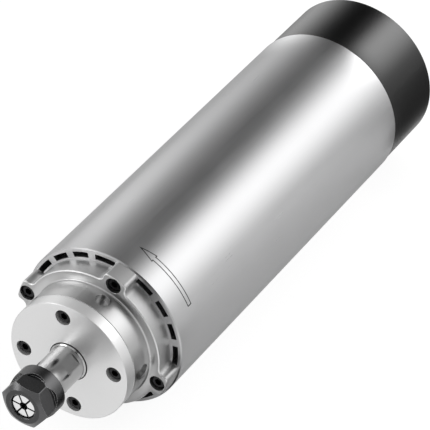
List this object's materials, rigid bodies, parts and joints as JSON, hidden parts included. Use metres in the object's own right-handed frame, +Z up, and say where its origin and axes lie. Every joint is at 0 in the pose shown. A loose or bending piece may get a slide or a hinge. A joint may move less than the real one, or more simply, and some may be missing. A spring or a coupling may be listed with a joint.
{
  "type": "motor spindle",
  "caption": "Air-cooled round spindle motor: slotted tube body, lugged front casting, slotted collet in a hexagon nut, black rear cap with fan and power socket.",
  "frame": {"origin": "on the shaft axis at the middle of the clamping tube", "axes": "+X along the shaft towards the rear cap, so the tool points along -X; +Z up with the spindle lying on its side"},
  "size_m": [0.2546, 0.065, 0.065],
  "materials": {
    "tube_metal": "brushed along the axis, satin",
    "bell_metal": "die cast, fine blasted, turned neck",
    "cover_metal": "turned face",
    "screw_black": "black oxide",
    "nut_black": "black oxide, oiled",
    "shaft_steel": "ground and polished",
    "collet_steel": "ground spring steel",
    "bearing_steel": "polished",
    "cage_resin": "moulded resin",
    "lamination_steel": "stacked sheet edges",
    "cage_aluminium": "die cast",
    "winding_copper": "varnished enamel wire",
    "cap_black": "satin black",
    "fan_black": "moulded",
    "socket_metal": "nickel plate",
    "insulator_black": "moulded",
    "pin_brass": "plated",
    "sleeve_fabric": "braided sleeve",
    "spring_steel": "blued spring steel"
  },
  "bodies": {
    "housing": {"body_tube": "tube_metal", "front_end_bell": "bell_metal", "front_cover": "cover_metal", "front_cover_screws": "screw_black", "end_bell_screws": "screw_black", "front_bearing_outer_ring": "bearing_steel", "second_bearing_outer_ring": "bearing_steel", "bearing_outer_spacer": "bearing_steel", "stator_core": "lamination_steel", "stator_windings": "winding_copper", "rear_bracket": "bell_metal", "rear_bearing_outer_ring": "bearing_steel", "rear_bearing_shields": "bearing_steel", "preload_spring": "spring_steel", "rear_cap": "cap_black", "rear_cap_screws": "screw_black", "socket_shell": "socket_metal", "socket_insulator": "insulator_black", "socket_pins": "pin_brass", "socket_nut": "socket_metal", "lead_sleeve": "sleeve_fabric"},
    "rotor": {"spindle_shaft": "shaft_steel", "front_bearing_inner_ring": "bearing_steel", "second_bearing_inner_ring": "bearing_steel", "bearing_inner_spacer": "bearing_steel", "bearing_locknut": "screw_black", "rotor_core": "lamination_steel", "rotor_cage": "cage_aluminium", "rear_bearing_inner_ring": "bearing_steel", "rear_bearing_circlip": "spring_steel", "cooling_fan": "fan_black", "fan_clip": "spring_steel"},
    "front_bearing_set": {"front_bearing_balls": "bearing_steel", "front_bearing_cage": "cage_resin"},
    "second_bearing_set": {"second_bearing_balls": "bearing_steel", "second_bearing_cage": "cage_resin"},
    "rear_bearing_set": {"rear_bearing_balls": "bearing_steel", "rear_bearing_cage": "cage_resin"},
    "collet_carrier": {"collet": "collet_steel"},
    "nut": {"collet_nut": "nut_black", "nut_extractor_ring": "nut_black"}
  },
  "joints": [
    {"name": "rotor_spin", "type": "hinge", "parent": "housing", "child": "rotor", "pos_m": [0, 0, 0], "axis": [1, 0, 0], "continuous": true},
    {"name": "front_bearing_roll", "type": "hinge", "parent": "housing", "child": "front_bearing_set", "pos_m": [-0.09265, 0, 0], "axis": [1, 0, 0], "continuous": true},
    {"name": "second_bearing_roll", "type": "hinge", "parent": "housing", "child": "second_bearing_set", "pos_m": [-0.07965, 0, 0], "axis": [1, 0, 0], "continuous": true},
    {"name": "rear_bearing_roll", "type": "hinge", "parent": "housing", "child": "rear_bearing_set", "pos_m": [0.06075, 0, 0], "axis": [1, 0, 0], "continuous": true},
    {"name": "collet_travel", "type": "slide", "parent": "rotor", "child": "collet_carrier", "axis": [-1, 0, 0], "range_m": [0, 0.006]},
    {"name": "nut_turn", "type": "hinge", "parent": "collet_carrier", "child": "nut", "pos_m": [-0.13375, 0, 0], "axis": [-1, 0, 0], "range_deg": [0, 2880]}
  ],
  "couplings": [
    {"joint": "front_bearing_roll", "follows": "rotor_spin", "ratio": 0.4},
    {"joint": "second_bearing_roll", "follows": "rotor_spin", "ratio": 0.4},
    {"joint": "rear_bearing_roll", "follows": "rotor_spin", "ratio": 0.3825},
    {"joint": "collet_travel", "follows": "nut_turn", "m_per_rad": 0.00011937}
  ]
}
